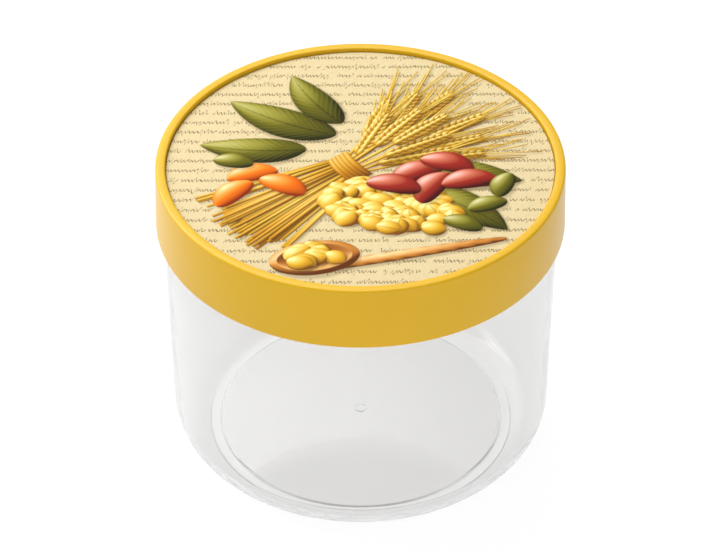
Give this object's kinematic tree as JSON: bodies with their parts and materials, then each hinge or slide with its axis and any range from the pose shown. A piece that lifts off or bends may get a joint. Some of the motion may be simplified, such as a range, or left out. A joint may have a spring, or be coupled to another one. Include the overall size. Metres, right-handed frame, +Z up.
{
  "type": "storage jar",
  "caption": "Short, wide, clear plastic storage jar with rounded foot corners, shut by a flat yellow lid that holds a printed disc in its recessed top.",
  "frame": {"origin": "middle of the foot, on the surface that the jar stands on", "axes": "+Z up along the jar's axis; the picture looks along +Y from above"},
  "size_m": [0.1108, 0.1108, 0.0893],
  "materials": {
    "clear_plastic": "clear, polished, faintly grey",
    "yellow_plastic": "satin",
    "printed_card": "printed, matte"
  },
  "bodies": {
    "root": {"jar": "clear_plastic", "lid": "yellow_plastic", "lid_print": "printed_card"}
  },
  "joints": []
}
